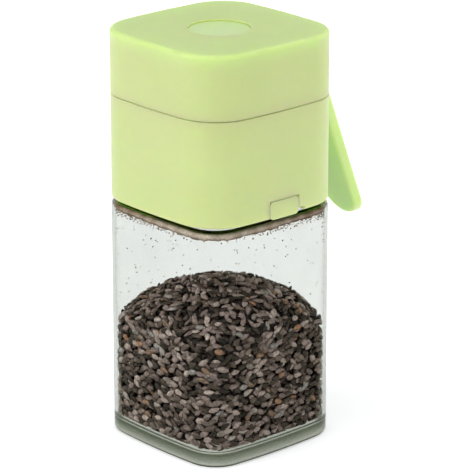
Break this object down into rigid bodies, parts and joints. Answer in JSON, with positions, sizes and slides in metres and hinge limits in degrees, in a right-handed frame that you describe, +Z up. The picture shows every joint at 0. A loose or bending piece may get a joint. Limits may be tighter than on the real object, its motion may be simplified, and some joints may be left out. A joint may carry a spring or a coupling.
{
  "type": "spice jar",
  "caption": "Square glass spice jar with a tall twist-off plastic head, a flip lid opened by squeezing a rear lever, a shaker plate and a heap of dark seeds.",
  "frame": {"origin": "centre of the jar's flat base, on the surface that it stands on", "axes": "+Z up along the jar; the squeeze lever is behind the +Y face and the release tab is on the +X face"},
  "size_m": [0.06, 0.0912, 0.1394],
  "materials": {
    "glass": "clear soda-lime glass",
    "seeds": "dry seed husk",
    "silicone": "translucent white silicone",
    "inner_plastic": "natural moulded polypropylene",
    "green_plastic": "satin moulded polypropylene, pale lime green",
    "steel": "drawn stainless steel"
  },
  "bodies": {
    "jar": {"glass_jar": "glass", "sesame_fill": "seeds"},
    "gasket": {"rim_gasket": "silicone"},
    "head": {"collar": "green_plastic", "spout": "inner_plastic", "screw_ring": "green_plastic", "shaker_plate": "inner_plastic", "hinge_pin": "steel", "tab_pin": "steel"},
    "lid": {"flip_lid": "green_plastic", "top_disc": "green_plastic", "lid_liner": "inner_plastic", "liner_screws": "steel", "lid_seal": "silicone", "closing_spring": "steel"},
    "tab": {"release_tab": "green_plastic"}
  },
  "joints": [
    {"name": "cap_lift", "type": "slide", "parent": "jar", "child": "gasket", "axis": [0, 0, 1], "range_m": [0, 0.024]},
    {"name": "cap_twist", "type": "hinge", "parent": "gasket", "child": "head", "pos_m": [0, 0, 0.0984], "axis": [0, 0, 1], "range_deg": [0, 360]},
    {"name": "lid_squeeze", "type": "hinge", "parent": "head", "child": "lid", "pos_m": [0, 0.026, 0.1154], "axis": [-1, 0, 0], "range_deg": [0, 22], "stiffness_Nm_per_rad": 0.15, "springref_deg": -34.38},
    {"name": "tab_press", "type": "hinge", "parent": "head", "child": "tab", "pos_m": [0.0256, 0.0014, 0.093], "axis": [0, 1, 0], "range_deg": [0, 7], "stiffness_Nm_per_rad": 0.05, "springref_deg": -11.46}
  ],
  "couplings": [
    {"joint": "cap_twist", "follows": "cap_lift", "rad_per_m": 261.79}
  ]
}
